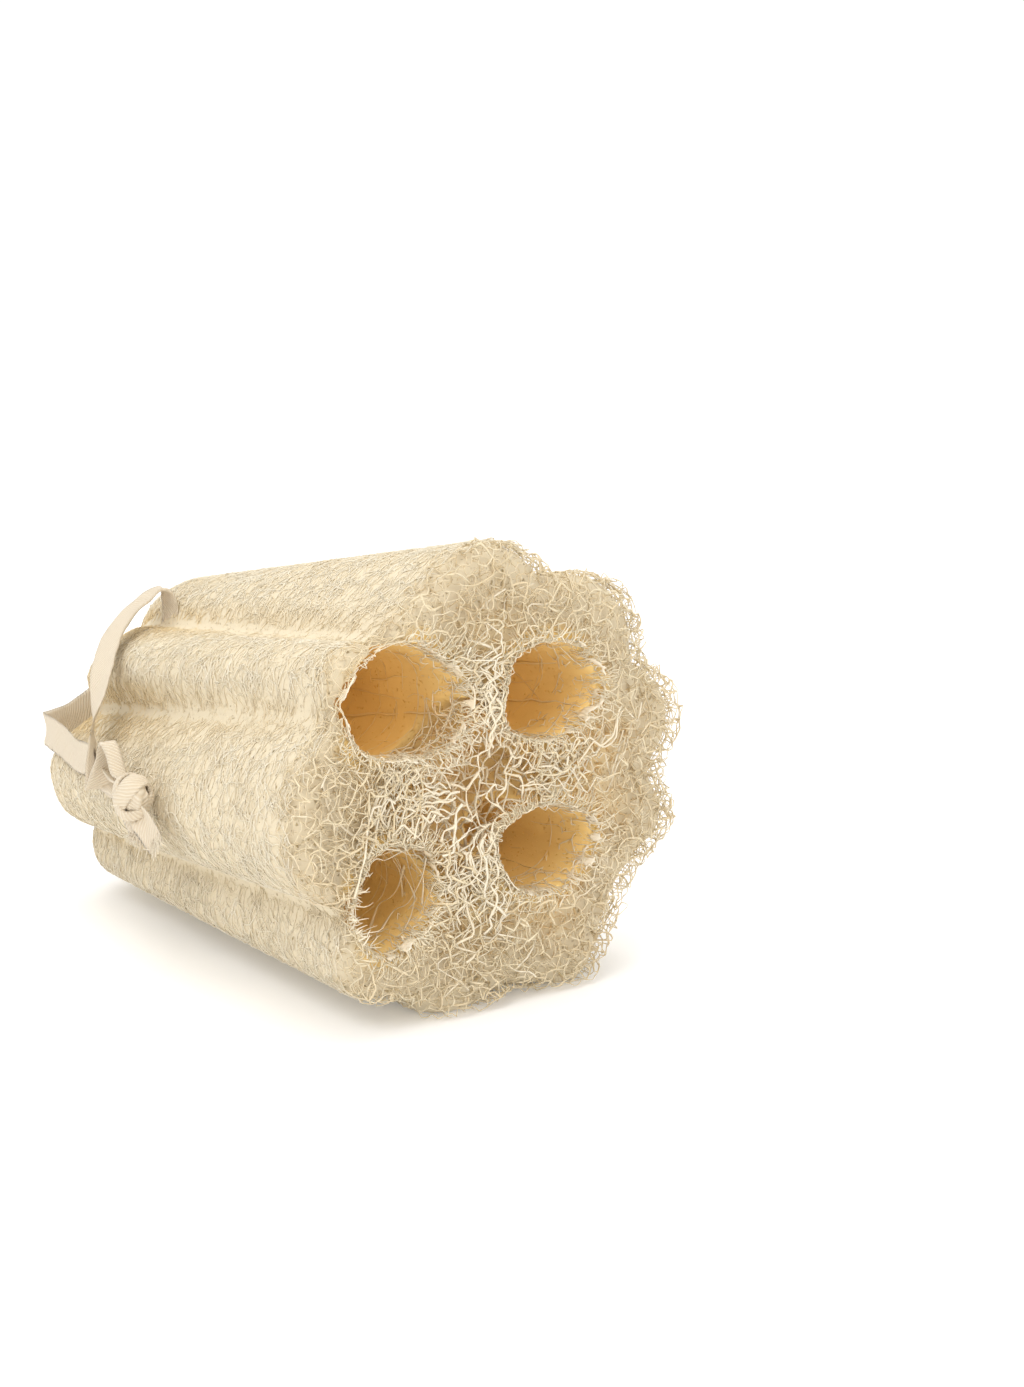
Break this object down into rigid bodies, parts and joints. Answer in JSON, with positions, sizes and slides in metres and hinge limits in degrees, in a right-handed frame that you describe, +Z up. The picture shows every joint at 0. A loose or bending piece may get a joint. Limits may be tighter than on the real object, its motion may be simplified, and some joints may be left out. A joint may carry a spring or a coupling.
{
  "type": "natural loofah sponge",
  "caption": "Dried loofah gourd cut to a bath sponge: lobed net body with open seed channels and a knotted cotton tape loop for hanging.",
  "frame": {"origin": "on the floor under the middle of the sponge's own box, without the tape", "axes": "+Y along the length from the wide cut face with the open channels towards the narrow far end with the tape; +Z up; the cut face looks towards -Y"},
  "size_m": [0.1176, 0.1619, 0.1099],
  "materials": {
    "loofah_fibre": "matt dry plant fibre",
    "cotton_tape": "matt undyed cotton twill"
  },
  "bodies": {
    "root": {"loofah_body": "loofah_fibre", "hanging_tape": "cotton_tape"}
  },
  "joints": []
}
